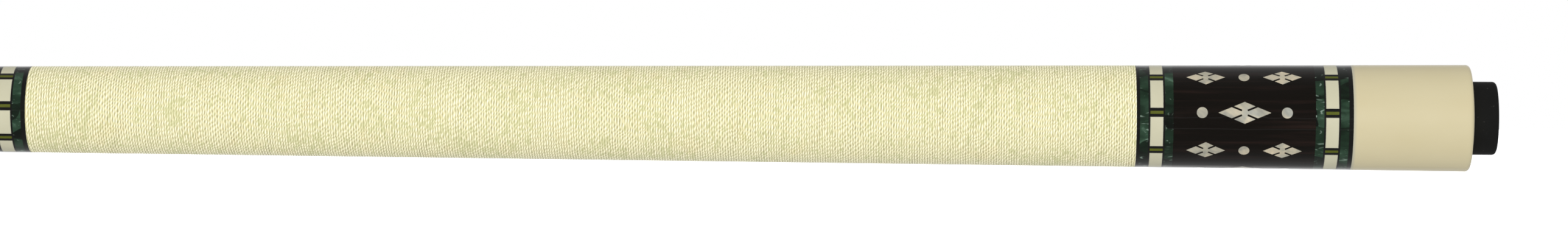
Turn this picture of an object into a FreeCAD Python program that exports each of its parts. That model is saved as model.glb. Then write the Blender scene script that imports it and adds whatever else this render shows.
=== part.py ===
import FreeCAD, Part
import math
import os
import Sketcher

# A two-piece pool cue, in millimetres. The cue lies along X with its bumper at the origin and its
# tip towards -X; +Z is up. Stations are distances from the bumper's end face towards the tip.

doc = FreeCAD.newDocument("pool_cue")

sizes = {
    # overall
    "butt_length": 736.6,
    "shaft_length": 736.6,
    "cap_diameter": 31.75,
    "joint_diameter": 21.5,
    "tip_diameter": 13.0,
    # bumper
    "bumper_diameter": 21.8,
    "bumper_stand_out": 7.4,
    "bumper_seat_depth": 3.0,
    "bumper_edge_round": 1.2,
    "bumper_barb_radius": 7.45,
    "bumper_barb_height": 0.85,
    "bumper_barb_length": 1.6,
    "bumper_stem_length": 13.0,
    # butt cap
    "cap_length": 36.1,
    "cap_edge_round": 1.3,
    "cap_dome": 0.5,
    "cap_socket_depth": 14.0,
    # decorative rings
    "pearl_ring_length": 2.5,
    "spacer_length": 0.52,
    "block_ring_length": 3.85,
    "rear_end_ring_length": 1.3,
    "middle_end_ring_length": 0.95,
    "front_end_ring_length": 1.3,
    "block_count": 8,
    "bar_width": 0.9,
    "bar_border": 0.9,
    "block_depth": 2.0,
    "ring_turn": -4.5,
    # butt sleeve and its inlays
    "sleeve_length": 42.0,
    "inlay_depth": 1.2,
    "large_diamond_length": 15.6,
    "large_diamond_width": 6.5,
    "large_slot_depth": 2.75,
    "small_diamond_length": 11.5,
    "small_diamond_width": 5.85,
    "small_slot_depth": 1.95,
    "small_diamond_spread": 11.35,
    "slot_width": 0.55,
    "slot_share": 0.55,
    "dot_diameter": 3.25,
    "dot_spread": 12.55,
    # handle
    "wrap_length": 328.7,
    "wrap_thickness": 0.75,
    "core_tenon_radius": 9.5,
    "front_tenon_radius": 8.0,
    "front_tenon_length": 25.0,
    "stud_radius": 4.76,
    "stud_length": 60.0,
    "weight_radius": 6.35,
    "weight_length": 50.8,
    "weight_inset": 2.0,
    "weight_socket_flats": 8.0,
    "weight_socket_depth": 7.0,
    # joint
    "butt_collar_length": 22.0,
    "shaft_collar_length": 9.0,
    "joint_tenon_radius": 7.6,
    "joint_gap": 0.04,
    "pin_radius": 4.76,
    "pin_length": 31.0,
    "pin_hold": 34.0,
    "thread_pitch": 2.54,
    "thread_depth": 0.86,
    "thread_mouth": 1.7,
    "thread_floor": 0.9,
    "thread_play": 0.15,
    "insert_radius": 6.3,
    "insert_length": 24.0,
    "insert_setback": 3.0,
    # shaft
    "straight_length": 290.0,
    "straight_flare": 0.35,
    "ferrule_length": 25.4,
    "ferrule_wall": 2.4,
    "ferrule_roof": 5.0,
    "pad_thickness": 1.0,
    "tip_height": 6.5,
    "tip_crown_radius": 9.5,
    # fits
    "glue_gap": 0.02,
    "slide_fit": 0.05,
}

sheet = doc.addObject("Spreadsheet::Sheet", "Sizes")
for row, (alias, value) in enumerate(sizes.items(), start=1):
    sheet.set(f"A{row}", alias)
    sheet.set(f"B{row}", str(value))
    sheet.setAlias(f"B{row}", alias)
doc.recompute()

stations = doc.addObject("App::VarSet", "Stations")


def derive(name, expression):
    """Add a named value worked out from the sheet."""
    stations.addProperty("App::PropertyFloat", name)
    stations.setExpression(name, expression)
    doc.recompute()
    return f"Stations.{name}"


def number(expression):
    return float(stations.evalExpression(str(expression)))


# The butt tapers evenly from the cap's rear edge to the joint face. The shaft tapers evenly from
# there to its slim front stretch, which is nearly straight.
derive("joint_radius", "Sizes.joint_diameter / 2")
derive("tip_radius", "Sizes.tip_diameter / 2")
derive("straight_radius", "Stations.tip_radius + Sizes.straight_flare")
derive("butt_run", "Sizes.butt_length - Sizes.bumper_stand_out")
derive("shaft_run", "Sizes.shaft_length - Sizes.straight_length")
derive("taper", "(Sizes.cap_diameter / 2 - Stations.joint_radius) / Stations.butt_run")
derive("shaft_taper", "(Stations.joint_radius - Stations.straight_radius) / Stations.shaft_run")


def butt_radius(station):
    return f"Sizes.cap_diameter / 2 - Stations.taper * ({station} - Sizes.bumper_stand_out)"


def shaft_radius(station):
    return f"Stations.joint_radius - Stations.shaft_taper * ({station} - Sizes.butt_length)"


def cut(name, expression, radius_at=butt_radius):
    """A cross-section of the cue: its station and the radius there."""
    derive(name, expression)
    derive(f"{name}_radius", radius_at(f"Stations.{name}"))


def stack(place, start, radius_at=butt_radius):
    """Cuts of a ring stack, from the bumper's side towards the tip. Returns its last station."""
    length = {
        "pearl": "Sizes.pearl_ring_length",
        "spacer": "Sizes.spacer_length",
        "block": "Sizes.block_ring_length",
        "end": f"Sizes.{place}_end_ring_length",
    }
    cut(f"{place}_0", start, radius_at)
    for index, kind in enumerate(ring_kinds[place], start=1):
        cut(f"{place}_{index}", f"Stations.{place}_{index - 1} + {length[kind]}", radius_at)
    return f"Stations.{place}_{len(ring_kinds[place])}"


# The rings of each stack, named from the bumper's side towards the tip.
ring_kinds = {
    "rear": ("end", "pearl", "spacer", "block", "spacer", "pearl"),
    "middle": ("pearl", "spacer", "block", "spacer", "pearl", "end"),
    "front": ("end", "pearl", "spacer", "block", "spacer", "pearl"),
    "joint": ("spacer", "pearl", "spacer"),
    "shaft": ("spacer", "pearl", "spacer"),
}

cut("cap_rear", "Sizes.bumper_stand_out")
cut("cap_front", "Stations.cap_rear + Sizes.cap_length")
cut("sleeve_rear", stack("rear", "Stations.cap_front"))
cut("sleeve_front", "Stations.sleeve_rear + Sizes.sleeve_length")
cut("wrap_rear", stack("middle", "Stations.sleeve_front"))
cut("wrap_front", "Stations.wrap_rear + Sizes.wrap_length")
cut("forearm_rear", stack("front", "Stations.wrap_front"))
derive("joint_stack", "2 * Sizes.spacer_length + Sizes.pearl_ring_length")
cut("forearm_front", "Sizes.butt_length - Sizes.butt_collar_length - Stations.joint_stack")
cut("collar_rear", stack("joint", "Stations.forearm_front"))
cut("butt_face", "Sizes.butt_length")
derive("core_rear", "Stations.cap_front - Sizes.cap_socket_depth")
derive("core_front", "Stations.forearm_rear + Sizes.front_tenon_length")
cut("shaft_face", "Sizes.butt_length + Sizes.joint_gap", shaft_radius)
cut("shaft_collar_front", "Stations.shaft_face + Sizes.shaft_collar_length", shaft_radius)
cut("wood_rear", stack("shaft", "Stations.shaft_collar_front + Sizes.glue_gap", shaft_radius), shaft_radius)
derive("tip_end", "Stations.shaft_face + Sizes.shaft_length")
derive("tip_base", "Stations.tip_end - Sizes.tip_height")
derive("pad_base", "Stations.tip_base - Sizes.pad_thickness")
derive("ferrule_rear", "Stations.pad_base - Sizes.ferrule_length")
derive("straight_rear", "Stations.tip_end - Sizes.straight_length")


# drawing helpers

def new_body(label, station, turn=None):
    """A body with its origin on the cue's axis at a station, turned about the axis if asked."""
    body = doc.addObject("PartDesign::Body", label)
    body.Label = label
    if turn:
        body.Placement.Rotation = FreeCAD.Rotation(FreeCAD.Vector(1, 0, 0), 1)
        body.setExpression("Placement.Rotation.Angle", turn)
    body.setExpression("Placement.Base.x", f"-({station})")
    return body


def origin_item(body, role):
    return next(item for item in body.Origin.OriginFeatures if item.Role == role)


def arc_between(start, end, radius, bulge):
    """The short arc from start to end; bulge is +1 to the left of the way, -1 to the right."""
    chord = end - start
    half = chord.Length / 2
    side = FreeCAD.Vector(-chord.y, chord.x, 0).normalize() * bulge
    sagitta = radius - math.sqrt(radius ** 2 - half ** 2)
    return Part.Arc(start, (start + end) / 2 + side * sagitta, end)


def new_sketch(body, name, plane="XZ_Plane", tilt=0, lift="0"):
    """A sketch on an origin plane, tilted about the cue's axis, then lifted along its normal."""
    sketch = body.newObject("Sketcher::SketchObject", name)
    sketch.AttachmentSupport = (origin_item(body, plane), [""])
    sketch.MapMode = "FlatFace"
    sketch.AttachmentOffset = FreeCAD.Placement(
        FreeCAD.Vector(0, 0, 0), FreeCAD.Rotation(FreeCAD.Vector(1, 0, 0), tilt))
    sketch.setExpression("AttachmentOffset.Base.y", f"-({lift}) * sin({tilt} deg)")
    sketch.setExpression("AttachmentOffset.Base.z", f"({lift}) * cos({tilt} deg)")
    sketch.Visibility = False
    return sketch


def bind(sketch, kind, name, expression, *geometry):
    """Add a dimension and tie it to an expression."""
    made = sketch.addConstraint(Sketcher.Constraint(kind, *geometry, number(expression)))
    sketch.renameConstraint(made, name)
    sketch.setExpression(f"Constraints.{name}", str(expression))


def draw_outline(sketch, points, arcs=None):
    """Close a loop through points, given as pairs of expressions. arcs maps an edge's number to
    (radius expression, bulge); the other edges are straight."""
    arcs = arcs or {}
    first = sketch.GeometryCount
    corners = [FreeCAD.Vector(number(across), number(up), 0) for across, up in points]
    ends = []
    for index, start in enumerate(corners):
        end = corners[(index + 1) % len(corners)]
        if index in arcs:
            radius, bulge = arcs[index]
            edge = sketch.addGeometry(arc_between(start, end, number(radius), bulge))
        else:
            edge = sketch.addGeometry(Part.LineSegment(start, end))
        gap = [sketch.getPoint(edge, side).distanceToPoint(start) for side in (1, 2)]
        ends.append((1, 2) if gap[0] < gap[1] else (2, 1))
    for index in range(len(corners)):
        following = (index + 1) % len(corners)
        sketch.addConstraint(Sketcher.Constraint(
            "Coincident", first + index, ends[index][1], first + following, ends[following][0]))
    for index, (across, up) in enumerate(points):
        corner = (-1, 1, first + index, ends[index][0])
        bind(sketch, "DistanceX", f"x{first + index}", across, *corner)
        bind(sketch, "DistanceY", f"y{first + index}", up, *corner)
    for index, (radius, _) in arcs.items():
        bind(sketch, "Radius", f"r{first + index}", radius, first + index)
    return sketch


def draw_circle(sketch, across, up, radius):
    centre = FreeCAD.Vector(number(across), number(up), 0)
    circle = sketch.addGeometry(Part.Circle(centre, FreeCAD.Vector(0, 0, 1), number(radius)))
    bind(sketch, "DistanceX", f"x{circle}", across, -1, 1, circle, 3)
    bind(sketch, "DistanceY", f"y{circle}", up, -1, 1, circle, 3)
    bind(sketch, "Radius", f"r{circle}", radius, circle)
    return sketch


def revolve(body, sketch, kind="Revolution", angle=None):
    """Turn a sketch about the cue's axis: all the way round, or an angle split evenly about it."""
    turned = body.newObject(f"PartDesign::{kind}", f"{sketch.Name}_turned")
    turned.Profile = sketch
    turned.ReferenceAxis = (sketch, ["H_Axis"])
    turned.Angle = 360
    if angle:
        turned.Midplane = True
        turned.setExpression("Angle", angle)
    doc.recompute()
    return turned


def raise_up(body, sketch, kind, height):
    """A pad, or a pocket that cuts the same way, out from the sketch's plane."""
    raised = body.newObject(f"PartDesign::{kind}", f"{sketch.Name}_raised")
    raised.Profile = sketch
    raised.setExpression("Length", height)
    raised.Reversed = kind == "Pocket"
    doc.recompute()
    return raised


def repeat_round(body, originals, count):
    """Repeat features evenly round the cue's axis."""
    pattern = body.newObject("PartDesign::PolarPattern", f"{originals[0].Name}_round")
    pattern.Originals = originals
    pattern.Axis = (origin_item(body, "X_Axis"), [""])
    pattern.Angle = 360
    pattern.setExpression("Occurrences", count)
    body.Tip = pattern
    doc.recompute()
    return pattern


def turned_piece(label, station, points, arcs=None):
    """A piece turned on the lathe, with its origin on the axis at a station."""
    body = new_body(label, station)
    revolve(body, draw_outline(new_sketch(body, f"{label}_outline"), points, arcs))
    return body


def tube_points(front, rear, bore, origin):
    """Half the section of a tapered tube between two cuts, measured from the origin cut."""
    start = f"Stations.{origin} - Stations.{front}"
    stop = f"Stations.{origin} - Stations.{rear}"
    outer = f"Stations.{rear}_radius", f"Stations.{front}_radius"
    return [(start, bore), (stop, bore), (stop, outer[0]), (start, outer[1])]


def tube(label, front, rear, bore):
    return turned_piece(label, f"Stations.{front}", tube_points(front, rear, bore, front))


# ring stacks

def plain_rings(label, place, kinds, bore):
    """The plain rings of some kinds in one stack, each a solid of its own."""
    last = f"{place}_{len(ring_kinds[place])}"
    body = new_body(label, f"Stations.{last}")
    for index, kind in enumerate(ring_kinds[place]):
        if kind in kinds:
            points = tube_points(f"{place}_{index + 1}", f"{place}_{index}", bore, last)
            revolve(body, draw_outline(new_sketch(body, f"{label}_{index}"), points))
    return body


def block_sectors(place):
    """Half-section of the blocks and bars, and the angles that one block and one bar cover."""
    index = ring_kinds[place].index("block")
    front, rear = f"{place}_{index + 1}", f"{place}_{index}"
    points = tube_points(front, rear, f"Stations.{place}_floor", front)
    degrees = f"180 / pi / Stations.{front}_radius"
    block = f"360 / Sizes.block_count - (Sizes.bar_width + 2 * Sizes.bar_border) * {degrees}"
    bar = f"Sizes.bar_width * {degrees}"
    between = "180 / Sizes.block_count"
    return front, rear, points, (("white_blocks", block, between), ("olive_bars", bar, "0"))


def block_ring(place, bore):
    """The black ring that holds the blocks and bars in slots that run right across it."""
    front, rear, _, kinds = block_sectors(place)
    body = new_body(f"{place}_block_ring", f"Stations.{front}", "Sizes.ring_turn")
    points = tube_points(front, rear, bore, front)
    revolve(body, draw_outline(new_sketch(body, f"{place}_block_ring_outline"), points))
    floor = f"Stations.{place}_floor"
    roof = f"Stations.{rear}_radius + 1"
    past = "Sizes.block_ring_length + 1"
    slot = [("-1", floor), (past, floor), (past, roof), ("-1", roof)]
    for name, angle, tilt in kinds:
        sketch = new_sketch(body, f"{place}_{name}_slot", tilt=number(tilt))
        groove = revolve(body, draw_outline(sketch, slot), "Groove", angle)
        repeat_round(body, [groove], "Sizes.block_count")
    return body


def block_set(place, kind):
    """The blocks or the bars of one ring, as separate solids."""
    front, _, points, kinds = block_sectors(place)
    name, angle, tilt = kinds[kind]
    body = new_body(f"{place}_{name}", f"Stations.{front}", "Sizes.ring_turn")
    sketch = new_sketch(body, f"{place}_{name}_outline", tilt=number(tilt))
    sector = revolve(body, draw_outline(sketch, points), angle=angle)
    repeat_round(body, [sector], "Sizes.block_count")
    return body


def ring_stack(place, bore):
    front = f"{place}_{ring_kinds[place].index('block') + 1}"
    derive(f"{place}_floor", f"Stations.{front}_radius - Sizes.block_depth")
    return [
        plain_rings(f"{place}_black_rings", place, ("end", "spacer"), bore),
        plain_rings(f"{place}_pearl_rings", place, ("pearl",), bore),
        block_ring(place, bore),
        block_set(place, 0),
        block_set(place, 1),
    ]


# butt sleeve and inlays

def diamond(kind):
    """Corners of a diamond with four round-ended slots, each cut parallel to the next side.
    They go round leftwards from the right-hand point."""
    half_length = f"(Sizes.{kind}_diamond_length / 2)"
    half_width = f"(Sizes.{kind}_diamond_width / 2)"
    side = derive(f"{kind}_side", f"sqrt({half_length} ^ 2 + {half_width} ^ 2)")
    mouth = derive(f"{kind}_mouth", f"Sizes.slot_width * {side} / 4 / {half_length} / {half_width}")
    run_x = f"{half_length} * (1 - Sizes.slot_share - Sizes.{kind}_slot_depth / {side})"
    run_y = f"{half_width} * (Sizes.slot_share - Sizes.{kind}_slot_depth / {side})"
    lean_x = f"Sizes.slot_width / 2 * {half_width} / {side}"
    lean_y = f"Sizes.slot_width / 2 * {half_length} / {side}"
    lobe = f"(Sizes.slot_share - {mouth})"
    wing = f"(Sizes.slot_share + {mouth})"
    quarter = [
        (f"{half_length} * (1 - {lobe})", f"{half_width} * {lobe}"),
        (f"{run_x} + {lean_x}", f"{run_y} - {lean_y}"),
        (f"{run_x} - {lean_x}", f"{run_y} + {lean_y}"),
        (f"{half_length} * (1 - {wing})", f"{half_width} * {wing}"),
    ]
    points = []
    arcs = {}
    for across, up in ((1, 1), (-1, 1), (-1, -1), (1, -1)):
        lengthwise = across == up
        points.append((f"{across} * {half_length}", "0") if lengthwise else ("0", f"{up} * {half_width}"))
        arcs[len(points) + 1] = ("Sizes.slot_width * 0.55", 1)
        for x, y in quarter if lengthwise else reversed(quarter):
            points.append((f"{across} * ({x})", f"{up} * ({y})"))
    return points, arcs


def inlay_shapes():
    """Each node's shape, its places along the sleeve, and its rows' turn about the cue."""
    pair = ("Sizes.{}", "-Sizes.{}")
    return {
        "large_diamonds": (diamond("large"), ["0"], 0),
        "paired_dots": (None, [place.format("dot_spread") for place in pair], 0),
        "small_diamonds": (diamond("small"), [place.format("small_diamond_spread") for place in pair], 45),
        "single_dots": (None, ["0"], 45),
    }


def draw_inlay(body, name, shape, places, tilt):
    """The shape at each of its places, on the flat floor of its pocket."""
    sketch = new_sketch(body, name, "XY_Plane", tilt, "Stations.inlay_floor")
    for place in places:
        middle = f"Sizes.sleeve_length / 2 + {place}"
        if shape:
            points, arcs = shape
            draw_outline(sketch, [(f"{middle} + {x}", y) for x, y in points], arcs)
        else:
            draw_circle(sketch, middle, "0", "Sizes.dot_diameter / 2")
    return sketch


def inlay_set(label, shape, places, tilt):
    """Inlays of one kind, sanded flush with the sleeve."""
    body = new_body(label, "Stations.sleeve_front", "Sizes.ring_turn")
    sketch = draw_inlay(body, f"{label}_outline", shape, places, tilt)
    blank = raise_up(body, sketch, "Pad", "Sizes.inlay_depth * 2")
    repeat_round(body, [blank], "4")
    roof = "Stations.sleeve_rear_radius + 2 * Sizes.inlay_depth"
    waste = [
        ("0", "Stations.sleeve_front_radius"),
        ("Sizes.sleeve_length", "Stations.sleeve_rear_radius"),
        ("Sizes.sleeve_length", roof),
        ("0", roof),
    ]
    revolve(body, draw_outline(new_sketch(body, f"{label}_waste"), waste), "Groove")
    return body


def butt_sleeve(shapes):
    body = new_body("butt_sleeve", "Stations.sleeve_front", "Sizes.ring_turn")
    points = tube_points("sleeve_front", "sleeve_rear", core_bore, "sleeve_front")
    revolve(body, draw_outline(new_sketch(body, "butt_sleeve_outline"), points))
    for name, (shape, places, tilt) in shapes.items():
        sketch = draw_inlay(body, f"{name}_pocket", shape, places, tilt)
        pocket = raise_up(body, sketch, "Pocket", "Sizes.inlay_depth * 2")
        repeat_round(body, [pocket], "4")
    return body


# rear of the butt

def bumper():
    """A rubber plug: a head that seats in the cap, and a stem with three barbs."""
    head = "-(Sizes.bumper_stand_out + Sizes.bumper_seat_depth - Sizes.glue_gap)"
    radius = "Sizes.bumper_diameter / 2"
    stem = "Sizes.bumper_barb_radius - Sizes.bumper_barb_height"
    points = [
        ("0", "0"),
        ("0", f"{radius} - Sizes.bumper_edge_round"),
        ("-Sizes.bumper_edge_round", radius),
        (head, radius),
        (head, stem),
    ]
    for barb in range(1, 4):
        start = f"{head} - Sizes.bumper_stem_length * {barb} / 4"
        points += [
            (start, stem),
            (start, "Sizes.bumper_barb_radius"),
            (f"{start} - Sizes.bumper_barb_length", stem),
        ]
    points += [(f"{head} - Sizes.bumper_stem_length", stem),
               (f"{head} - Sizes.bumper_stem_length", "0")]
    return turned_piece("bumper", "0", points, {1: ("Sizes.bumper_edge_round", -1)})


def butt_cap():
    length = "Sizes.cap_length"
    seat = "Sizes.bumper_diameter / 2 + Sizes.slide_fit"
    bore = "Sizes.bumper_barb_radius + Sizes.slide_fit"
    points = [
        ("0", core_bore),
        ("Sizes.cap_socket_depth", core_bore),
        ("Sizes.cap_socket_depth", bore),
        (f"{length} - Sizes.bumper_seat_depth", bore),
        (f"{length} - Sizes.bumper_seat_depth", seat),
        (length, seat),
        (f"{length} - Sizes.cap_dome", "Stations.cap_rear_radius - Sizes.cap_edge_round"),
        (f"{length} - Sizes.cap_dome - Sizes.cap_edge_round", "Stations.cap_rear_radius"),
        ("0", "Stations.cap_front_radius"),
    ]
    return turned_piece("butt_cap", "Stations.cap_front", points, {6: ("Sizes.cap_edge_round", -1)})


def weight_bolt():
    """A steel weight screw with a hexagon socket facing the bumper."""
    points = [
        ("0", "0"),
        ("0", "Sizes.weight_radius"),
        ("-Sizes.weight_length", "Sizes.weight_radius"),
        ("-Sizes.weight_length", "0"),
    ]
    body = turned_piece("weight_bolt", "Stations.core_rear + Sizes.weight_inset", points)
    corner = "Sizes.weight_socket_flats / sqrt(3)"
    turns = [60 * side for side in range(6)]
    hexagon = [(f"{corner} * cos({turn} deg)", f"{corner} * sin({turn} deg)") for turn in turns]
    sketch = draw_outline(new_sketch(body, "weight_socket", "YZ_Plane"), hexagon)
    socket = body.newObject("PartDesign::Pocket", "weight_socket_cut")
    socket.Profile = sketch
    socket.setExpression("Length", "Sizes.weight_socket_depth")
    doc.recompute()
    return body


def handle_core():
    """A maple dowel from the cap, through rings and sleeve, under the wrap and into the forearm."""
    place = "Stations.wrap_front - {}".format
    bed_depth = "Sizes.wrap_thickness - Sizes.glue_gap"
    weight_bore = "Sizes.weight_radius + Sizes.glue_gap"
    stud_bore = "Sizes.stud_radius + Sizes.glue_gap"
    weight_end = place("(Stations.core_rear + Sizes.weight_inset + Sizes.weight_length + 2)")
    stud_end = place("(Stations.core_front - Sizes.stud_length / 2 - 1)")
    points = [
        (place("Stations.core_front"), stud_bore),
        (stud_end, stud_bore),
        (stud_end, "0"),
        (weight_end, "0"),
        (weight_end, weight_bore),
        (place("Stations.core_rear"), weight_bore),
        (place("Stations.core_rear"), "Sizes.core_tenon_radius"),
        (place("Stations.wrap_rear"), "Sizes.core_tenon_radius"),
        (place("Stations.wrap_rear"), f"Stations.wrap_rear_radius - {bed_depth}"),
        ("0", f"Stations.wrap_front_radius - {bed_depth}"),
        ("0", "Sizes.front_tenon_radius"),
        (place("Stations.core_front"), "Sizes.front_tenon_radius"),
    ]
    return turned_piece("handle_core", "Stations.wrap_front", points)


def wrap():
    """The linen's solid: an even sleeve in the handle's turned bed."""
    points = [
        ("0", "Stations.wrap_front_radius - Sizes.wrap_thickness"),
        ("Sizes.wrap_length", "Stations.wrap_rear_radius - Sizes.wrap_thickness"),
        ("Sizes.wrap_length", "Stations.wrap_rear_radius"),
        ("0", "Stations.wrap_front_radius"),
    ]
    return turned_piece("wrap", "Stations.wrap_front", points)


def assembly_stud():
    """The steel stud glued into handle and forearm."""
    half = "Sizes.stud_length / 2"
    points = [(f"-{half}", "0"), (half, "0"), (half, "Sizes.stud_radius"), (f"-{half}", "Sizes.stud_radius")]
    return turned_piece("assembly_stud", "Stations.core_front", points)


# forearm and joint

def forearm():
    """Origin at the joint face; the front tenon carries the joint rings and the collar."""
    place = "Stations.butt_face - {}".format
    pin_bore = "Sizes.pin_radius + Sizes.glue_gap"
    pin_end = "Sizes.pin_hold + 1"
    stud_bore = "Sizes.stud_radius + Sizes.glue_gap"
    stud_end = place("(Stations.core_front + Sizes.stud_length / 2 + 1)")
    socket = "Sizes.front_tenon_radius + Sizes.glue_gap"
    socket_end = place("(Stations.core_front + 0.5)")
    rear = place("Stations.forearm_rear")
    front = place("Stations.forearm_front")
    points = [
        ("0", pin_bore),
        (pin_end, pin_bore),
        (pin_end, "0"),
        (stud_end, "0"),
        (stud_end, stud_bore),
        (socket_end, stud_bore),
        (socket_end, socket),
        (rear, socket),
        (rear, "Stations.forearm_rear_radius"),
        (front, "Stations.forearm_front_radius"),
        (front, "Sizes.joint_tenon_radius"),
        ("0", "Sizes.joint_tenon_radius"),
    ]
    return turned_piece("forearm", "Stations.butt_face", points)


def thread_cut(body, name, start, travel, mouth, floor):
    """A helical groove round the cue's axis. mouth and floor are its (radius, width)."""
    points = [
        (f"{start} + ({mouth[1]}) / 2", mouth[0]),
        (f"{start} - ({mouth[1]}) / 2", mouth[0]),
        (f"{start} - ({floor[1]}) / 2", floor[0]),
        (f"{start} + ({floor[1]}) / 2", floor[0]),
    ]
    sketch = draw_outline(new_sketch(body, f"{name}_outline"), points)
    thread = body.newObject("PartDesign::SubtractiveHelix", name)
    thread.Profile = sketch
    thread.ReferenceAxis = (sketch, ["H_Axis"])
    thread.Mode = "pitch-height-angle"
    thread.setExpression("Pitch", "Sizes.thread_pitch")
    thread.setExpression("Height", travel)
    doc.recompute()
    return thread


def groove_width(radius, play):
    """The pin's groove is this wide at a radius, less the play on both flanks."""
    slope = "(Sizes.thread_mouth - Sizes.thread_floor) / Sizes.thread_depth"
    return f"Sizes.thread_floor + ({radius} - Sizes.pin_radius + Sizes.thread_depth) * {slope} - 2 * {play}"


def joint_pin():
    """The steel joint screw, glued into the forearm and standing out of the joint face."""
    chamfer = "Sizes.thread_depth"
    points = [
        ("Sizes.pin_hold", "0"),
        ("Sizes.pin_hold", "Sizes.pin_radius"),
        (f"{chamfer} - Sizes.pin_length", "Sizes.pin_radius"),
        ("-Sizes.pin_length", f"Sizes.pin_radius - {chamfer}"),
        ("-Sizes.pin_length", "0"),
    ]
    body = turned_piece("joint_pin", "Stations.butt_face", points)
    crest = "Sizes.pin_radius + 0.2"
    mouth = (crest, groove_width(crest, "0"))
    floor = ("Sizes.pin_radius - Sizes.thread_depth", "Sizes.thread_floor")
    travel = "-Stations.thread_start - Sizes.thread_pitch / 2"
    thread_cut(body, "pin_thread", "Stations.thread_start", travel, mouth, floor)
    return body


def shaft_insert():
    """The brass nut in the shaft. Its ridge runs in the pin's groove with the named play."""
    rear = "-(Sizes.joint_gap + Sizes.insert_setback)"
    front = f"{rear} - Sizes.insert_length"
    ridge = "Sizes.pin_radius - Sizes.thread_depth + Sizes.thread_play"
    points = [(front, ridge), (rear, ridge), (rear, "Sizes.insert_radius"), (front, "Sizes.insert_radius")]
    body = turned_piece("shaft_insert", "Stations.butt_face", points)
    inner = "Sizes.pin_radius - Sizes.thread_depth"
    outer = "Sizes.pin_radius + Sizes.thread_play"
    mouth = (outer, f"Sizes.thread_pitch - ({groove_width(outer, 'Sizes.thread_play')})")
    floor = (inner, f"Sizes.thread_pitch - ({groove_width(inner, 'Sizes.thread_play')})")
    start = "Stations.thread_start + Sizes.thread_pitch / 2"
    thread_cut(body, "insert_thread", start, f"-({start})", mouth, floor)
    return body


# shaft

def shaft():
    """Origin at the joint face; the rear tenon carries the collar and the shaft's rings."""
    place = "Stations.butt_face - {}".format
    face = place("Stations.shaft_face")
    insert_bore = "Sizes.insert_radius + Sizes.glue_gap"
    insert_end = f"{face} - Sizes.insert_setback - Sizes.insert_length - 0.5"
    pin_clear = "Sizes.pin_radius + 0.3"
    pin_end = "-Sizes.pin_length - 3"
    wood = place("Stations.wood_rear")
    ferrule_rear = place("Stations.ferrule_rear")
    tenon_end = place("(Stations.pad_base - Sizes.ferrule_roof - 0.2)")
    tenon = "Stations.tip_radius - Sizes.ferrule_wall"
    points = [
        (face, insert_bore),
        (face, "Sizes.joint_tenon_radius"),
        (wood, "Sizes.joint_tenon_radius"),
        (wood, "Stations.wood_rear_radius"),
        (place("Stations.straight_rear"), "Stations.straight_radius"),
        (ferrule_rear, "Stations.tip_radius"),
        (ferrule_rear, tenon),
        (tenon_end, tenon),
        (tenon_end, "0"),
        (pin_end, "0"),
        (pin_end, pin_clear),
        (insert_end, pin_clear),
        (insert_end, insert_bore),
    ]
    return turned_piece("shaft", "Stations.butt_face", points)


def ferrule():
    """A closed cap over the shaft's slim front tenon."""
    roof = "Sizes.ferrule_roof"
    bore = "Stations.tip_radius - Sizes.ferrule_wall + Sizes.glue_gap"
    points = [
        ("0", "0"),
        (roof, "0"),
        (roof, bore),
        ("Sizes.ferrule_length", bore),
        ("Sizes.ferrule_length", "Stations.tip_radius"),
        ("0", "Stations.tip_radius"),
    ]
    return turned_piece("ferrule", "Stations.pad_base", points)


def tip_pad():
    thickness = "Sizes.pad_thickness"
    radius = "Stations.tip_radius"
    points = [("0", "0"), (thickness, "0"), (thickness, radius), ("0", radius)]
    return turned_piece("tip_pad", "Stations.tip_base", points)


def tip():
    """A leather tip with a domed crown."""
    side = "sqrt(Sizes.tip_crown_radius ^ 2 - Stations.tip_radius ^ 2)"
    crown = f"Sizes.tip_crown_radius - {side}"
    points = [
        ("Sizes.tip_height", "0"),
        ("Sizes.tip_height", "Stations.tip_radius"),
        (crown, "Stations.tip_radius"),
        ("0", "0"),
    ]
    return turned_piece("tip", "Stations.tip_end", points, {2: ("Sizes.tip_crown_radius", -1)})


# the whole cue

core_bore = "Sizes.core_tenon_radius + Sizes.glue_gap"
front_bore = "Sizes.front_tenon_radius + Sizes.glue_gap"
joint_bore = "Sizes.joint_tenon_radius + Sizes.glue_gap"
running_bore = "Sizes.joint_tenon_radius + Sizes.slide_fit"

derive("inlay_floor", "(Stations.sleeve_rear_radius + Stations.sleeve_front_radius) / 2 - Sizes.inlay_depth")
derive("thread_start", "-(ceil(Sizes.pin_length / Sizes.thread_pitch) + 1) * Sizes.thread_pitch")

shapes = inlay_shapes()
pieces = [bumper(), butt_cap(), weight_bolt(), handle_core(), wrap(), assembly_stud()]
pieces += ring_stack("rear", core_bore)
pieces += [butt_sleeve(shapes)]
pieces += [inlay_set(name, *shape) for name, shape in shapes.items()]
pieces += ring_stack("middle", core_bore)
pieces += ring_stack("front", front_bore)
pieces += [
    forearm(),
    plain_rings("joint_black_rings", "joint", ("spacer",), joint_bore),
    plain_rings("joint_pearl_ring", "joint", ("pearl",), joint_bore),
    tube("butt_collar", "butt_face", "collar_rear", joint_bore),
    joint_pin(),
    tube("shaft_collar", "shaft_collar_front", "shaft_face", running_bore),
    plain_rings("shaft_black_rings", "shaft", ("spacer",), joint_bore),
    plain_rings("shaft_pearl_ring", "shaft", ("pearl",), joint_bore),
    shaft_insert(),
    shaft(),
    ferrule(),
    tip_pad(),
    tip(),
]
doc.recompute()

for item in doc.Objects:
    if "Invalid" in item.State or "Error" in item.State:
        raise RuntimeError(f"{item.Label} did not rebuild: {item.State}")
for piece in pieces:
    if piece.Shape.isNull() or not piece.Shape.isValid() or not piece.Shape.Solids:
        raise RuntimeError(f"{piece.Label} is not a valid solid")

os.makedirs("parts", exist_ok=True)
for piece in pieces:
    piece.Shape.exportStep(f"parts/{piece.Label}.step")
    print(f"{piece.Label}: {len(piece.Shape.Solids)} solids, {piece.Shape.Volume:.1f} mm3")
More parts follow.
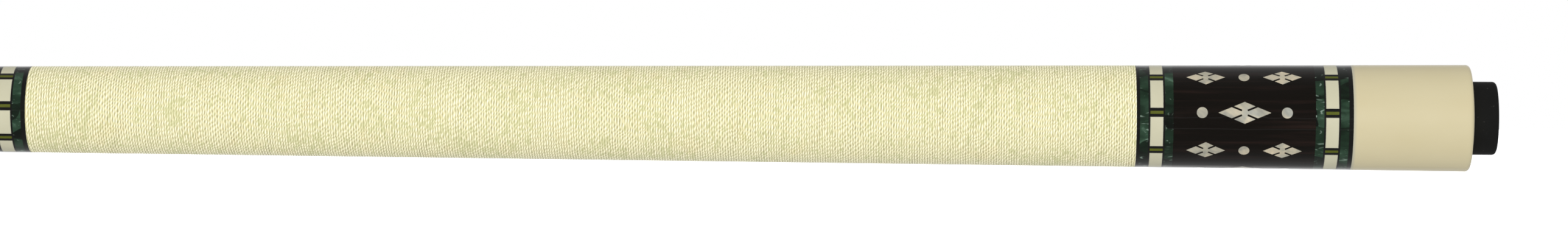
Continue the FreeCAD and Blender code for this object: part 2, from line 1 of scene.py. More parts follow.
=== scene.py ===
import bpy
import math
import random
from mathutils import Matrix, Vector


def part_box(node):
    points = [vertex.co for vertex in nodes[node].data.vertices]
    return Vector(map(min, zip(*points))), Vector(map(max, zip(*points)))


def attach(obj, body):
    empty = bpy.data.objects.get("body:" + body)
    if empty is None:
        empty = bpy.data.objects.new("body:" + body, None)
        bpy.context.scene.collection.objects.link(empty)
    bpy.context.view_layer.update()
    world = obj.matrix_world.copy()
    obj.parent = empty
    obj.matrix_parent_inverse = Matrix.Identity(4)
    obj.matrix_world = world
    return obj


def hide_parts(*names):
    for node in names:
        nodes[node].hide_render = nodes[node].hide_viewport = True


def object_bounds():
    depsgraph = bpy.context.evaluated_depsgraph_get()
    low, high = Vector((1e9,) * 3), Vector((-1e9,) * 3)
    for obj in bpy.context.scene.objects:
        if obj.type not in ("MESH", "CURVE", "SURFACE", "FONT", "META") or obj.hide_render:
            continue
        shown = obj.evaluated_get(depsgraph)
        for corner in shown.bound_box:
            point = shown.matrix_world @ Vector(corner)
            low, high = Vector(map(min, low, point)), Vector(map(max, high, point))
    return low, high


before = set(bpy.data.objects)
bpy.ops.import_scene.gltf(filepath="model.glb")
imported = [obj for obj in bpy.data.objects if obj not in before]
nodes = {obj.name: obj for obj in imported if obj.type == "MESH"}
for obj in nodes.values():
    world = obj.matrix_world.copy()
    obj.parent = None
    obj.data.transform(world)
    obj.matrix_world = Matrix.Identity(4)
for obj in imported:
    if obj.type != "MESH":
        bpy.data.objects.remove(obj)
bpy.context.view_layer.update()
print("frame loaded:", len(nodes), "pieces")


class Graph:
    # a node tree, and the one way that a node is added to it
    def __init__(self, tree):
        self.tree = tree

    def plug(self, socket, value):
        # a wire is linked; a colour or a number is typed into the socket
        if isinstance(value, Wire):
            self.tree.links.new(value.socket, socket)
        elif socket.type == "RGBA":
            socket.default_value = (*value, 1.0)
        else:
            socket.default_value = value

    def node(self, kind, settings, sockets, out=0):
        # settings come first, because some of them change which sockets there are
        made = self.tree.nodes.new("ShaderNode" + kind)
        for name, value in settings.items():
            if name == "stops":
                fillRamp(made.color_ramp, value)
            else:
                setattr(made, name, value)
        for key, value in sockets.items():
            self.plug(made.inputs[key], value)
        return Wire(self, made.outputs[out])

    def ramp(self, value, stops):
        return self.node("ValToRGB", {"stops": stops}, {"Fac": value})


def fillRamp(ramp, stops):
    # a stop's colour is three numbers, or one for a grey
    while len(ramp.elements) < len(stops):
        ramp.elements.new(0.5)
    for element, (position, colour) in zip(ramp.elements, stops):
        element.position = position
        level = colour if isinstance(colour, tuple) else (colour,) * 3
        element.color = (*level, 1.0)


class Wire:
    # an output socket; an expression on it adds its Math nodes
    def __init__(self, graph, socket):
        self.graph = graph
        self.socket = socket

    def out(self, key):
        # another output of the same node
        return Wire(self.graph, self.socket.node.outputs[key])

    def math(self, operation, *values):
        return self.graph.node("Math", {"operation": operation}, dict(enumerate(values)))

    def __add__(self, other):
        return self.math("ADD", self, other)

    def __radd__(self, other):
        return self.math("ADD", other, self)

    def __sub__(self, other):
        return self.math("SUBTRACT", self, other)

    def __rsub__(self, other):
        return self.math("SUBTRACT", other, self)

    def __mul__(self, other):
        return self.math("MULTIPLY", self, other)

    def __rmul__(self, other):
        return self.math("MULTIPLY", other, self)

    def __truediv__(self, other):
        return self.math("DIVIDE", self, other)

    def __rtruediv__(self, other):
        return self.math("DIVIDE", other, self)

    def __mod__(self, other):
        return self.math("FLOORED_MODULO", self, other)

    def __rmod__(self, other):
        return self.math("FLOORED_MODULO", other, self)

    def __neg__(self):
        return self.math("MULTIPLY", self, -1.0)

    def __abs__(self):
        return self.math("ABSOLUTE", self)

    def sine(self):
        return self.math("SINE", self)

    def angle(self, other):
        # from straight up, of a point this far to the side and the other far up
        return self.math("ARCTAN2", self, other)

    def lesser(self, other):
        return self.math("MINIMUM", self, other)


socketNames = {
    "colour": "Base Color", "rough": "Roughness", "metal": "Metallic", "specular": "Specular IOR Level",
    "coat": "Coat Weight", "coatRough": "Coat Roughness", "coatIor": "Coat IOR",
    "sheen": "Sheen Weight", "sheenRough": "Sheen Roughness", "normal": "Normal",
    "glow": "Emission Color", "glowStrength": "Emission Strength",
}


class Finish(Graph):
    # a material with one Principled shader, and the few nodes that a finish is mixed from
    def __init__(self, name, fixed):
        self.material = bpy.data.materials.new(name)
        self.material.use_nodes = True
        super().__init__(self.material.node_tree)
        self.shader = self.tree.nodes["Principled BSDF"]
        self.set(**fixed)

    def set(self, **values):
        for name, value in values.items():
            self.plug(self.shader.inputs[socketNames[name]], value)

    def place(self, stretch):
        # the piece's own coordinates in metres, stretched
        spot = self.node("TexCoord", {}, {}, "Object")
        return self.node("VectorMath", {"operation": "MULTIPLY"}, {0: spot, 1: stretch})

    def axes(self):
        spot = self.node("TexCoord", {}, {}, "Object")
        x = self.node("SeparateXYZ", {}, {0: spot}, "X")
        return x, x.out("Y"), x.out("Z")

    def noise(self, stretch=(1, 1, 1), scale=1.0, detail=3.0, rough=0.55, warp=0.0):
        return self.node("TexNoise", {}, {
            "Vector": self.place(stretch), "Scale": scale, "Detail": detail,
            "Roughness": rough, "Distortion": warp,
        })

    def band(self, value, low, high):
        # 0 below low, 1 above high, and smooth between them
        return self.node("MapRange", {"interpolation_type": "SMOOTHSTEP"},
                         {"Value": value, "From Min": low, "From Max": high})

    def mix(self, factor, first, second, blend="MIX"):
        # sockets 6 and 7 are the two colours, and output 2 is theirs
        settings = {"data_type": "RGBA", "blend_type": blend}
        return self.node("Mix", settings, {0: factor, 6: first, 7: second}, 2)

    def bump(self, height, depth, strength):
        self.set(normal=self.node("Bump", {}, {"Height": height, "Distance": depth, "Strength": strength}))


def wear(finish, *names):
    # a CAD piece takes a finish in its own material slots
    for name in names:
        slots = nodes[name].material_slots
        for slot in slots:
            slot.material = finish.material
        if not slots:
            nodes[name].data.materials.append(finish.material)


# In each dictionary a noise is its stretch along the cue and across it, and what else differs from plain;
# a band is where an effect begins and where it is full; a share is how much of it shows;
# a relief is its depth in metres and its strength.

lacquer = {"coat": 1.0, "coatRough": 0.04, "coatIor": 1.5}      # clear, over ebony, pearl and shell


# ebony: near black, with fine brown streaks along the cue
ebony = {
    "shader": {"rough": 0.35, "specular": 0.2, **lacquer},
    "dark": (0.0042, 0.0027, 0.0014),
    "brown": (0.017, 0.0082, 0.0058),
    "streaks": {"stretch": (18, 420, 420), "detail": 5.0, "rough": 0.6},
    "streakBand": (0.46, 0.74),
    "pore": (0.002, 0.0015, 0.001),
    "pores": {"stretch": (60, 2600, 2600), "detail": 2.0},
    "poreBand": (0.62, 0.70),
    "poreShare": 0.6,
    "relief": (0.00002, 0.25),
}


def ebonyFinish():
    made = Finish("ebony", ebony["shader"])
    streaks = made.noise(**ebony["streaks"])
    pores = made.band(made.noise(**ebony["pores"]), *ebony["poreBand"])
    colour = made.mix(made.band(streaks, *ebony["streakBand"]), ebony["dark"], ebony["brown"])
    made.set(colour=made.mix(pores * ebony["poreShare"], colour, ebony["pore"]))
    made.bump(streaks, *ebony["relief"])
    return made


# green pearl: silky leaves in dark resin, laid across the ring, with a few pale folds
greenPearl = {
    "shader": {"rough": 0.30, "specular": 0.3, **lacquer},
    "leaf": (70, 150, 150),         # stretch of the leaves
    "drift": {"scale": 1.2, "detail": 1.0},     # what bends the leaves
    "leafShare": 0.72,
    "silk": (170, 330, 330),        # stretch of the silk and of the folds
    "silkNoise": {"scale": 0.8, "rough": 0.5, "warp": 0.9},
    "silkShare": 0.66,
    "darker": 0.27,
    "rimBand": (0.0, 0.30),
    "rimShare": 0.08,
    "stops": (
        (0.0, (0.0026, 0.0036, 0.0021)), (0.34, (0.0038, 0.0072, 0.0038)), (0.54, (0.0064, 0.0165, 0.0080)),
        (0.72, (0.0110, 0.0285, 0.0145)), (0.88, (0.0240, 0.0560, 0.0310)), (1.0, (0.1000, 0.1800, 0.1200)),
    ),
    "fold": (0.24, 0.33, 0.26),
    "foldNoise": {"scale": 1.1, "detail": 1.0, "warp": 2.5},
    "foldBand": (0.63, 0.78),
    "foldShare": 0.7,
}


def greenPearlFinish():
    made = Finish("greenPearl", greenPearl["shader"])
    drift = made.noise(greenPearl["leaf"], **greenPearl["drift"])
    spread = made.node("VectorMath", {"operation": "ADD"}, {0: made.place(greenPearl["leaf"]), 1: drift})
    cells = made.node("TexVoronoi", {"feature": "F1"}, {"Vector": spread, "Scale": 1.0}, "Color")
    leaf = made.node("SeparateColor", {}, {"Color": cells})
    rim = made.node("TexVoronoi", {"feature": "DISTANCE_TO_EDGE"},
                    {"Vector": spread, "Scale": 1.0}, "Distance")
    silk = made.noise(greenPearl["silk"], **greenPearl["silkNoise"])
    tone = leaf * greenPearl["leafShare"] + silk * greenPearl["silkShare"] - greenPearl["darker"]
    tone = tone + made.band(rim, *greenPearl["rimBand"]) * greenPearl["rimShare"]
    folds = made.band(made.noise(greenPearl["silk"], **greenPearl["foldNoise"]), *greenPearl["foldBand"])
    colour = made.ramp(tone, greenPearl["stops"])
    made.set(colour=made.mix(folds * greenPearl["foldShare"], colour, greenPearl["fold"]))
    return made


# mother-of-pearl: grey shell with cream and cool patches and fine growth lines
shell = {
    "shader": {"rough": 0.25, "specular": 0.4, **lacquer},
    "stretch": (260, 260, 260),
    "clouds": {"scale": 0.9, "detail": 2.0, "warp": 0.8},
    "cloudShare": 0.62,
    "patches": {"Scale": 0.9, "Smoothness": 0.25},
    "patchShare": 0.34,
    "lines": {"Scale": 1.4, "Distortion": 7.0, "Detail": 2.0},
    "lineShare": 0.05,
    "stops": (
        (0.20, (0.24, 0.235, 0.20)), (0.38, (0.34, 0.32, 0.25)), (0.54, (0.44, 0.395, 0.29)),
        (0.72, (0.53, 0.455, 0.32)), (0.90, (0.78, 0.67, 0.46)),
    ),
    "cool": (0.33, 0.37, 0.36),
    "cools": {"scale": 0.6, "detail": 1.0},
    "coolBand": (0.55, 0.75),
    "coolShare": 0.30,
}


def shellFinish():
    made = Finish("motherOfPearl", shell["shader"])
    spot = made.place(shell["stretch"])
    clouds = made.noise(shell["stretch"], **shell["clouds"])
    cells = made.node("TexVoronoi", {"feature": "SMOOTH_F1"}, {"Vector": spot, **shell["patches"]}, "Color")
    patch = made.node("SeparateColor", {}, {"Color": cells})
    lines = made.node("TexWave", {"wave_type": "BANDS", "bands_direction": "DIAGONAL"},
                      {"Vector": spot, **shell["lines"]}, "Fac")
    tone = clouds * shell["cloudShare"] + patch * shell["patchShare"] + lines * shell["lineShare"]
    cools = made.band(made.noise(shell["stretch"], **shell["cools"]), *shell["coolBand"])
    colour = made.ramp(tone, shell["stops"])
    made.set(colour=made.mix(cools * shell["coolShare"], colour, shell["cool"]))
    return made


# ivory-coloured resin: warm and faintly clouded, with painted shade that greys it right next to a black
# ring
ivory = {
    "shader": {"rough": 0.4, "specular": 0.3, "coat": 0.3, "coatRough": 0.08, "coatIor": 1.5,
               "sheen": 0.12, "sheenRough": 0.3},
    "warm": (0.550, 0.474, 0.283),
    "pale": (0.575, 0.506, 0.320),
    "clouds": {"stretch": (60, 110, 110)},
    # grey and greyShare: the painted shade next to the black ring
    "grey": (0.40, 0.385, 0.30),
    "shadeReach": 0.0012,            # reach of the painted shade, from the ring into the resin
    "greyShare": 0.75,
}


def ivoryFinish(name, ringSide=None):
    made = Finish(name, ivory["shader"])
    colour = made.mix(made.noise(**ivory["clouds"]), ivory["warm"], ivory["pale"])
    if ringSide is not None:
        x = made.axes()[0]
        # painted shade: the resin is greyed where it meets the black ring
        ringShade = 1.0 - made.band(x, ringSide, ringSide + ivory["shadeReach"])
        colour = made.mix(ringShade * ivory["greyShare"], colour, ivory["grey"])
    made.set(colour=colour)
    return made


# plain resins of the rings, and the fibre pad under the tip
resinShader = {"rough": 0.35, "specular": 0.3, **lacquer, "coatRough": 0.05}
resins = {
    "blackResin": {
        "dark": (0.0045, 0.0045, 0.0040), "light": (0.008, 0.0075, 0.0065), "stretch": (300, 300, 300),
    },
    "oliveResin": {
        "dark": (0.052, 0.062, 0.002), "light": (0.120, 0.135, 0.007), "stretch": (250, 1500, 1500),
    },
    "fibre": {
        "dark": (0.010, 0.010, 0.010), "light": (0.020, 0.019, 0.018), "stretch": (900, 900, 900),
    },
}


def resinFinish(name):
    resin = resins[name]
    made = Finish(name, resinShader)
    made.set(colour=made.mix(made.noise(resin["stretch"], detail=4.0), resin["dark"], resin["light"]))
    return made


# white blocks: off-white, with a thin grey line just inside each edge
blocks = {
    "shader": {**resinShader, "rough": 0.4, "coat": 0.5},
    "count": 8,
    "turn": math.radians(-4.5),     # of the first bar, from straight up towards the front
    "bar": 0.0027,                  # width of the black-olive-black bar between two blocks
    "white": (0.505, 0.475, 0.325),
    "pale": (0.545, 0.520, 0.375),
    "clouds": {"stretch": (150, 150, 150)},
    "grey": (0.33, 0.33, 0.26),
    "greyLine": 0.00032,
    "greyShare": 0.55,
}


def blockFinish(place):
    made = Finish(place + "WhiteResin", blocks["shader"])
    colour = made.mix(made.noise(**blocks["clouds"]), blocks["white"], blocks["pale"])
    low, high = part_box(place + "_white_blocks")
    radius = high.z
    step = math.tau / blocks["count"]
    x, y, z = made.axes()
    # the bars lie at whole steps of the angle, and the blocks between them
    angle = (-y).angle(z) - blocks["turn"] + math.tau
    fromMiddle = abs(angle % step - step / 2) * radius
    sideways = (step * radius - blocks["bar"]) / 2 - fromMiddle
    lengthways = (high.x - low.x) / 2 - abs(x - (low.x + high.x) / 2)
    line = 1.0 - made.band(sideways.lesser(lengthways), 0.0, blocks["greyLine"])
    made.set(colour=made.mix(line * blocks["greyShare"], colour, blocks["grey"]))
    return made


# maple of the shaft and the core
maple = {
    "shader": {"rough": 0.42, "specular": 0.35, "coat": 0.25, "coatRough": 0.2},
    "light": (0.70, 0.50, 0.285),
    "dark": (0.50, 0.31, 0.145),
    "grain": {"stretch": (5, 900, 900), "detail": 5.0, "rough": 0.6},
    "grainShare": 0.6,
    "figure": {"stretch": (45, 60, 60), "detail": 2.0},
    "figureShare": 0.3,
    "lighter": 0.1,
    "pore": (0.34, 0.19, 0.08),
    "pores": {"stretch": (60, 3500, 3500), "detail": 2.0},
    "poreBand": (0.60, 0.70),
    "poreShare": 0.35,
    "relief": (0.00001, 0.4),
}


def mapleFinish():
    made = Finish("maple", maple["shader"])
    grain = made.noise(**maple["grain"])
    figure = made.noise(**maple["figure"])
    tone = grain * maple["grainShare"] + figure * maple["figureShare"] - maple["lighter"]
    pores = made.band(made.noise(**maple["pores"]), *maple["poreBand"])
    colour = made.mix(tone, maple["light"], maple["dark"])
    made.set(colour=made.mix(pores * maple["poreShare"], colour, maple["pore"]))
    made.bump(grain, *maple["relief"])
    return made


# turned metal, with fine tool lines round it
metal = {
    "shader": {"metal": 0.8, "specular": 0.6},
    "colour": {"pinSteel": (0.62, 0.62, 0.63), "insertBrass": (0.78, 0.56, 0.24)},
    "rough": {"pinSteel": 0.22, "insertBrass": 0.25},
    "line": (0.35, 0.34, 0.32),
    "lines": {"stretch": (4000, 150, 150)},
    "lineShare": 0.3,
    "lineRough": 0.2,
    "relief": (0.00001, 0.3),
}


def metalFinish(name):
    made = Finish(name, metal["shader"])
    lines = made.noise(**metal["lines"])
    colour = made.mix(lines * metal["lineShare"], metal["colour"][name], metal["line"])
    made.set(colour=colour, rough=lines * metal["lineRough"] + metal["rough"][name])
    made.bump(lines, *metal["relief"])
    return made


# ferrule: white resin with faint turning marks, and a haze of chalk towards the tip
ferrule = {
    "shader": {"specular": 0.4},
    "warm": (0.64, 0.62, 0.54),
    "pale": (0.70, 0.68, 0.61),
    "turned": {"stretch": (5000, 30, 30), "detail": 2.0},
    "clouds": {"stretch": (120, 240, 240), "detail": 4.0},
    "haze": (0.30, 0.40, 0.48),
    "hazeReach": 0.016,             # from the tip's end of the ferrule
    "hazeBand": (0.35, 0.65),
    "hazeShare": 0.35,
    "rough": 0.28,
    "turnedRough": 0.15,
    "relief": (0.00001, 0.4),
}


def ferruleFinish():
    made = Finish("ferruleResin", ferrule["shader"])
    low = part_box("ferrule")[0].x
    turned = made.noise(**ferrule["turned"])
    clouds = made.noise(**ferrule["clouds"])
    colour = made.mix((turned + clouds) / 2, ferrule["warm"], ferrule["pale"])
    reach = 1.0 - made.band(made.axes()[0], low, low + ferrule["hazeReach"])
    haze = reach * made.band(clouds, *ferrule["hazeBand"])
    colour = made.mix(haze * ferrule["hazeShare"], colour, ferrule["haze"])
    made.set(colour=colour, rough=turned * ferrule["turnedRough"] + ferrule["rough"])
    made.bump(turned, *ferrule["relief"])
    return made


# moulded rubber, with dust caught on it
rubber = {
    "shader": {"specular": 0.35},
    "black": (0.0060, 0.0060, 0.0052),
    "worn": (0.011, 0.011, 0.010),
    "wear": {"scale": 220.0},
    "wearShare": 0.5,
    "dust": (0.16, 0.15, 0.13),
    "specks": {"scale": 1500.0, "detail": 1.0},
    "speckBand": (0.74, 0.80),
    "speckShare": 0.35,
    "rough": 0.6,
    "wearRough": 0.2,
    "grain": {"scale": 2600.0, "detail": 4.0},
    "relief": (0.00004, 0.35),
}


def rubberFinish():
    made = Finish("rubber", rubber["shader"])
    worn = made.noise(**rubber["wear"])
    specks = made.band(made.noise(**rubber["specks"]), *rubber["speckBand"])
    colour = made.mix(worn * rubber["wearShare"], rubber["black"], rubber["worn"])
    colour = made.mix(specks * rubber["speckShare"], colour, rubber["dust"])
    made.set(colour=colour, rough=worn * rubber["wearRough"] + rubber["rough"])
    made.bump(made.noise(**rubber["grain"]), *rubber["relief"])
    return made


# layered leather, blue with chalk on its dome and where chalk has run down the side
leather = {
    "shader": {"rough": 0.85, "specular": 0.2},
    "side": (0.150, 0.075, 0.034),
    "layer": (0.075, 0.036, 0.017),
    "layers": {"stretch": (3400, 60, 60), "detail": 2.0},
    "layerBand": (0.40, 0.60),
    "chalk": (0.045, 0.105, 0.180),
    "chalkPale": (0.100, 0.200, 0.300),
    "grit": {"scale": 900.0, "detail": 4.0},
    "gritBand": (0.42, 0.62),
    "dome": (0.0026, 0.00468),      # from the tip's top, where chalk thins out and where it ends
    "run": 0.004,                   # how far its edge strays
    "bareShare": 0.85,
    "relief": (0.0001, 0.7),
}


def leatherFinish():
    made = Finish("tipLeather", leather["shader"])
    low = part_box("tip")[0].x
    grit = made.noise(**leather["grit"])
    layers = made.band(made.noise(**leather["layers"]), *leather["layerBand"])
    side = made.mix(layers, leather["side"], leather["layer"])
    chalk = made.mix(made.band(grit, *leather["gritBand"]), leather["chalk"], leather["chalkPale"])
    depth = made.axes()[0] + (grit - 0.5) * leather["run"] - low
    bare = made.band(depth, *leather["dome"])
    made.set(colour=made.mix(bare * leather["bareShare"], chalk, side))
    made.bump(grit, *leather["relief"])
    return made


wear(ebonyFinish(), "butt_sleeve", "forearm")
wear(shellFinish(), "large_diamonds", "small_diamonds", "paired_dots", "single_dots")
pearlLook = greenPearlFinish()
blackLook = resinFinish("blackResin")
oliveLook = resinFinish("oliveResin")
for place in ("rear", "middle", "front"):
    wear(blackLook, place + "_black_rings", place + "_block_ring")
    wear(pearlLook, place + "_pearl_rings")
    wear(oliveLook, place + "_olive_bars")
    wear(blockFinish(place), place + "_white_blocks")
wear(blackLook, "joint_black_rings", "shaft_black_rings")
wear(pearlLook, "joint_pearl_ring", "shaft_pearl_ring")
wear(ivoryFinish("capIvory", ringSide=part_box("butt_cap")[0].x), "butt_cap")
wear(ivoryFinish("collarIvory"), "butt_collar", "shaft_collar")
wear(mapleFinish(), "shaft", "handle_core")
wear(metalFinish("pinSteel"), "joint_pin", "assembly_stud", "weight_bolt")
wear(metalFinish("insertBrass"), "shaft_insert")
wear(ferruleFinish(), "ferrule")
wear(resinFinish("fibre"), "tip_pad")
wear(leatherFinish(), "tip")
wear(rubberFinish(), "bumper")
print("finishes on the turned pieces")


# the wrap: one twisted thread wound round the handle and pressed
thread = {
    "pitch": 0.000757,              # from one turn to the next
    "steps": 44,                    # points in one turn
    "profile": (-0.5, -0.34, -0.12, 0.12, 0.34, 0.5),   # across the thread, in threads
    "crown": 0.00010,               # how far the groove between turns drops below the crown
    "flatness": 2.0,                # power of that drop across the thread
    "seed": 7,
    "wander": 0.00014,              # how far a turn strays along the cue
    "waves": 14,                    # that its straying is summed from
    "waveTurns": (5, 23),           # turns in one wave
    "waveLobes": (1, 6),            # lobes of one wave in each turn
}


def windThread():
    low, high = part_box("wrap")
    frontRadius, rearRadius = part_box("front_black_rings")[1].z, high.z
    length = high.x - low.x
    turns = int(length / thread["pitch"])
    pitch = length / turns
    steps = thread["steps"]
    rng = random.Random(thread["seed"])
    waves = []
    for _ in range(thread["waves"]):
        phase = rng.uniform(0, math.tau)
        waves.append((phase, rng.uniform(*thread["waveTurns"]), rng.randint(*thread["waveLobes"])))
    verts = []
    faces = []
    across = len(thread["profile"])
    total = (turns + 1) * steps
    for step in range(total + 1):
        angle = math.tau * step / steps
        along = min(max(step / steps - 0.5, 0.5), turns - 0.5)    # both ends close on themselves
        stray = sum(math.sin(phase + along * math.tau / turnsInWave + angle * lobes)
                    for phase, turnsInWave, lobes in waves) / len(waves)
        centre = low.x + pitch * along + thread["wander"] * stray
        share = (centre - low.x) / length
        radius = frontRadius + (rearRadius - frontRadius) * share
        for offset in thread["profile"]:
            x = min(max(centre + offset * pitch, low.x), high.x)
            r = radius - thread["crown"] * abs(offset * 2) ** thread["flatness"]
            verts.append((x, -r * math.sin(angle), r * math.cos(angle)))
    for step in range(total):
        for side in range(across - 1):
            corner = step * across + side
            faces.append((corner, corner + 1, corner + 1 + across, corner + across))
    mesh = bpy.data.meshes.new("linenWrap")
    mesh.from_pydata(verts, [], faces)
    mesh.shade_smooth()
    made = bpy.data.objects.new("linenWrap", mesh)
    bpy.context.scene.collection.objects.link(made)
    return made, low.x, pitch, frontRadius, (rearRadius - frontRadius) / turns


# linen: two plies twisted into each thread, off-white, with olive flecks and warmer stretches; its grooves
# carry painted shade, and its crowns and ply crests carry painted highlights
linen = {
    "shader": {"rough": 0.8, "specular": 0.25, "sheen": 0.30, "sheenRough": 0.35},
    "stray": {"stretch": (1000, 520, 520), "detail": 1.0},
    "wave": 0.70,                   # how far the grooves wave, in threads
    "lay": 0.00165,                 # from one ply to the next along the thread
    "slant": 0.85,                  # how far a ply shifts along while it crosses the thread
    "wobble": {"stretch": (260, 260, 260), "detail": 1.0},
    "wobbleShare": 2.0,             # how far the lay drifts over a stretch, in plies
    "loose": 0.45,                  # how much the plies slip from one turn to the next
    "fibres": {"stretch": (4200, 1100, 1100), "detail": 2.0},
    "crownShare": 0.48,
    "plyShare": 0.29,
    "fibreShare": 0.27,
    # colour by height: painted shade low in the grooves and between plies, painted highlight high on the
    # crowns and ply crests
    "stops": (
        (0.18, (0.34, 0.305, 0.155)), (0.40, (0.51, 0.465, 0.255)), (0.58, (0.71, 0.655, 0.390)),
        (0.76, (0.87, 0.810, 0.515)), (0.92, (1.0, 0.960, 0.72)),
    ),
    "olive": (0.50, 0.50, 0.23),
    "flecks": {"stretch": (760, 430, 430), "detail": 2.0, "rough": 0.6},
    "fleckShare": 0.70,
    "patches": {"stretch": (70, 70, 70), "detail": 2.0},
    "patchShare": 0.30,
    "oliveShadeInGrooves": 0.10,           # how much more the grooves take the olive: painted shade, tinted olive
    "oliveBand": (0.43, 0.56),
    "oliveShare": 0.55,
    "warm": (1.0, 0.93, 0.84),
    "stretches": {"stretch": (180, 140, 140), "detail": 2.0},
    "warmBand": (0.55, 0.72),
    "warmShare": 0.35,
    "relief": (0.00010, 0.7),
}


def linenFinish(start, pitch, radius, growth):
    made = Finish("linen", linen["shader"])
    x, y, z = made.axes()
    angle = (-y).angle(z)
    # the thread swells and strays a little, so its grooves wave
    stray = made.noise(**linen["stray"]) - 0.5
    turn = (x - start) / pitch - angle / math.tau + stray * linen["wave"]
    within = turn % 1.0
    across = within - 0.5                           # -0.5 to 0.5 over one thread
    number = turn - within
    # metres of thread wound so far; each turn is a little longer than the last
    along = (number * (growth / 2) + radius) * number * math.tau + (number * growth + radius) * angle
    # plies: slanted ridges along the thread, never quite in step from turn to turn
    slip = made.node("TexWhiteNoise", {"noise_dimensions": "1D"}, {"W": number}) * linen["loose"]
    wobble = made.noise(**linen["wobble"]) * linen["wobbleShare"]
    phase = along / linen["lay"] + across * linen["slant"] + wobble + slip
    ply = (phase * math.tau).sine() * 0.5 + 0.5
    crown = 1.0 - across * across * 4.0             # 1 on top of the thread, 0 in the groove
    fibres = made.noise(**linen["fibres"])
    height = crown * linen["crownShare"] + ply * linen["plyShare"] + fibres * linen["fibreShare"]
    # painted shade and painted highlight: the colour follows the height, dark in the grooves and pale on
    # the crowns; the same height also drives the bump
    colour = made.ramp(height, linen["stops"])
    flecks = made.noise(**linen["flecks"]) * linen["fleckShare"]
    patches = made.noise(**linen["patches"]) * linen["patchShare"]
    # the olive flecks and patches are the linen's own; their lean into the grooves is painted shade
    olive = made.band(flecks + patches - height * linen["oliveShadeInGrooves"], *linen["oliveBand"])
    colour = made.mix(olive * linen["oliveShare"], colour, linen["olive"])
    warm = made.band(made.noise(**linen["stretches"]), *linen["warmBand"])
    made.set(colour=made.mix(warm * linen["warmShare"], colour, linen["warm"], "MULTIPLY"))
    made.bump(height, *linen["relief"])
    return made


wrap, *winding = windThread()
wrap.data.materials.append(linenFinish(*winding).material)
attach(wrap, "cue_butt")
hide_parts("wrap")
print("wrap wound:", len(wrap.data.polygons), "faces")


# the stage: a pale seamless floor that shows no shadow
stage = {
    "size": 12.0,                   # metres across
    "shader": {"colour": (0.9, 0.9, 0.9), "rough": 1.0, "specular": 0.0,
               "glow": (1.0, 1.0, 1.0), "glowStrength": 1.0},
}


def layFloor():
    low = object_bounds()[0]
    half = stage["size"] / 2
    corners = [(-half, -half), (half, -half), (half, half), (-half, half)]
    mesh = bpy.data.meshes.new("paleFloor")
    mesh.from_pydata([(x, y, low.z) for x, y in corners], [], [(0, 1, 2, 3)])
    mesh.materials.append(Finish("floorWhite", stage["shader"]).material)
    floor = bpy.data.objects.new("paleFloor", mesh)
    bpy.context.scene.collection.objects.link(floor)
    # seen by the camera only, so that it neither mirrors in the lacquer nor shades the cue
    floor.visible_glossy = False
    floor.visible_diffuse = False
    floor.visible_shadow = False


# soft light: a white surround, one wide lamp in front, and two faint tubes that only mirror in the lacquer
light = {
    "seen": (1.0, 1.0, 1.0),        # the backdrop itself
    "tint": (0.95, 0.97, 1.0),
    "strength": 0.84,
    # what mirrors in the lacquer: dim in front of the cue, at 0, and bright behind it, at 1
    "mirrored": (
        (0.0, 0.05), (0.30, 0.065), (0.50, 0.10), (0.70, 0.20), (0.88, 0.25), (0.96, 0.60), (1.0, 1.0),
    ),
    "aim": (-0.2, 0.0, 0.0),
    "key": {"power": 13.8, "width": 1.6, "height": 0.8},
    "keySpot": (-0.2, -1.5, 0.12),
    "tube": {"power": 0.07, "width": 2.4, "height": 0.035},
    "tubeSpots": ((-0.2, -1.5, -0.08), (-0.2, -1.33, -0.68)),
}


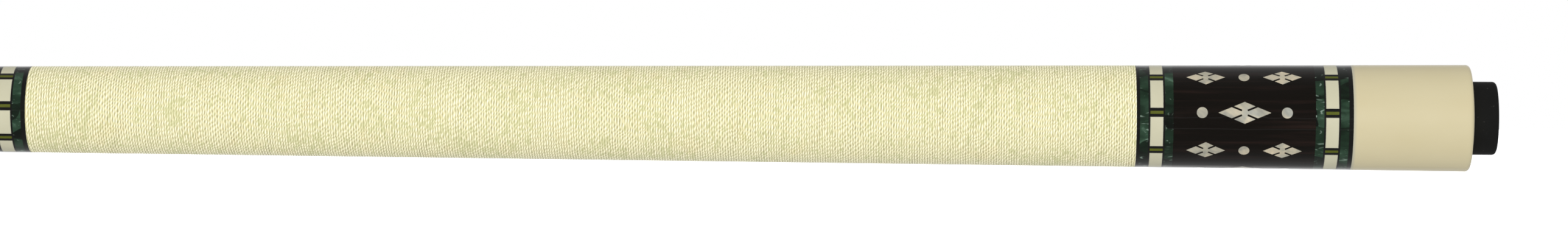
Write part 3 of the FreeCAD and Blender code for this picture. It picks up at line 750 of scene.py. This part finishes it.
def lightSurround():
    world = bpy.data.worlds.new("softStudio")
    bpy.context.scene.world = world
    world.use_nodes = True
    sky = Graph(world.node_tree)
    across = sky.node("TexCoord", {}, {}, "Generated")
    depth = sky.node("SeparateXYZ", {}, {0: across}, "Y")       # -1 in front of the cue, 1 behind it
    level = sky.ramp((depth + 1.0) / 2.0, light["mirrored"])
    mirrored = sky.node("Background", {}, {"Color": level, "Strength": 1.0})
    ambient = sky.node("Background", {}, {"Color": light["tint"], "Strength": light["strength"]})
    backdrop = sky.node("Background", {}, {"Color": light["seen"], "Strength": 1.0})
    ray = sky.node("LightPath", {}, {}, "Is Camera Ray")
    lit = sky.node("MixShader", {}, {0: ray.out("Is Glossy Ray"), 1: ambient, 2: mirrored})
    whole = sky.node("MixShader", {}, {0: ray, 1: lit, 2: backdrop})
    sky.plug(sky.tree.nodes["World Output"].inputs["Surface"], whole)


def addLamp(name, lamp, spot, mirrorOnly):
    data = bpy.data.lights.new(name, "AREA")
    data.energy = lamp["power"]
    data.shape = "RECTANGLE"
    data.size = lamp["width"]
    data.size_y = lamp["height"]
    made = bpy.data.objects.new(name, data)
    bpy.context.scene.collection.objects.link(made)
    made.location = spot
    made.rotation_mode = "QUATERNION"
    made.rotation_quaternion = (Vector(light["aim"]) - Vector(spot)).to_track_quat("-Z", "Y")
    made.visible_glossy = mirrorOnly
    made.visible_diffuse = not mirrorOnly
    made.visible_camera = False


# the camera: level with the cue, square to it, looking at the butt
camera = {
    "distance": 1.542,              # from the cue's axis
    "seenWidth": 0.4674,            # of the cue, across the whole picture
    "along": -0.1682,               # where it stands along the cue
    "shiftX": -0.0940,
    "shiftY": -0.00068,
    "roll": math.radians(-0.357),
    "sensor": 36.0,
    "clip": (0.05, 50.0),
}


def setCamera():
    data = bpy.data.cameras.new("camera")
    data.sensor_width = camera["sensor"]
    data.lens = camera["sensor"] * camera["distance"] / camera["seenWidth"]
    data.shift_x = camera["shiftX"]
    data.shift_y = camera["shiftY"]
    data.clip_start, data.clip_end = camera["clip"]
    view = bpy.data.objects.new("camera", data)
    bpy.context.scene.collection.objects.link(view)
    view.location = (camera["along"], -camera["distance"], 0.0)
    view.rotation_euler = (math.radians(90), camera["roll"], 0.0)
    bpy.context.scene.camera = view


layFloor()
lightSurround()
addLamp("key", light["key"], light["keySpot"], mirrorOnly=False)
for spot in light["tubeSpots"]:
    addLamp("faintTube", light["tube"], spot, mirrorOnly=True)
setCamera()
bpy.context.scene.view_settings.view_transform = "Standard"
print("stage, light and camera set")
